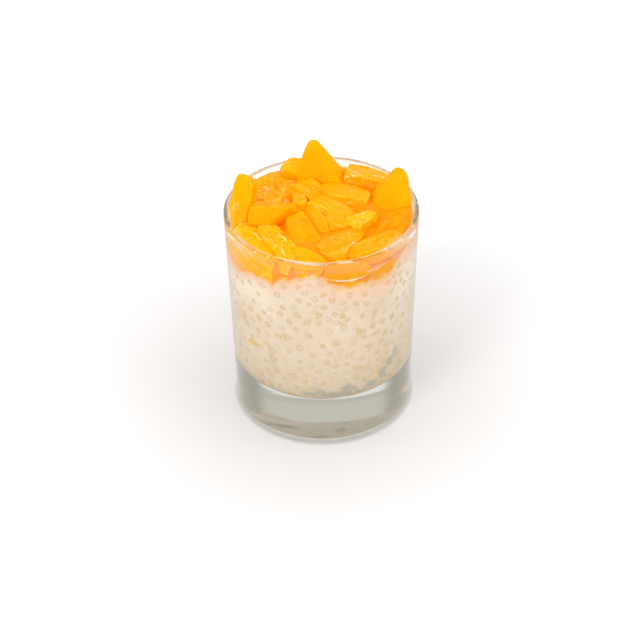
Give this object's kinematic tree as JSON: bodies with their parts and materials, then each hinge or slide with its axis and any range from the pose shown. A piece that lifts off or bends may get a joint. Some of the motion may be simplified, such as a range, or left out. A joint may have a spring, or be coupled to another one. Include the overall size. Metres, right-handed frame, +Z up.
{
  "type": "tapioca pudding",
  "caption": "Tapioca pudding served in a clear tumbler with a thick base, topped with a heap of cut peach pieces; stands on a table as a dessert.",
  "frame": {"origin": "middle of the underside of the glass's foot", "axes": "+Z up along the glass's axis, -Y to the front, +X to the right seen from the front"},
  "size_m": [0.082, 0.082, 0.1115],
  "materials": {
    "clear_glass": "smooth clear glass, faintly grey-green where it is thick",
    "tapioca_cream": "moist cream pudding with translucent beige pearls",
    "peach_flesh": "wet translucent yellow-orange peach flesh"
  },
  "bodies": {
    "root": {"glass": "clear_glass", "tapioca_pudding": "tapioca_cream", "peach_right_crescent": "peach_flesh", "peach_right_sail": "peach_flesh", "peach_back_sail": "peach_flesh", "peach_back_wedge": "peach_flesh", "peach_left_slab": "peach_flesh", "peach_textured_cube": "peach_flesh", "peach_centre_wedge": "peach_flesh", "peach_front_strip": "peach_flesh", "peach_upright_block": "peach_flesh", "peach_front_lens": "peach_flesh", "peach_front_slab": "peach_flesh", "peach_wall_wedge": "peach_flesh", "peach_front_right_block": "peach_flesh", "peach_middle_disc": "peach_flesh", "peach_centre_slice": "peach_flesh", "peach_middle_block": "peach_flesh", "peach_back_block": "peach_flesh", "peach_left_face": "peach_flesh", "peach_left_chip": "peach_flesh", "peach_left_disc": "peach_flesh", "peach_back_lump": "peach_flesh", "peach_back_slice": "peach_flesh", "peach_left_wall_block": "peach_flesh", "peach_wall_chip": "peach_flesh", "peach_low_strip": "peach_flesh", "peach_wall_block": "peach_flesh"}
  },
  "joints": []
}
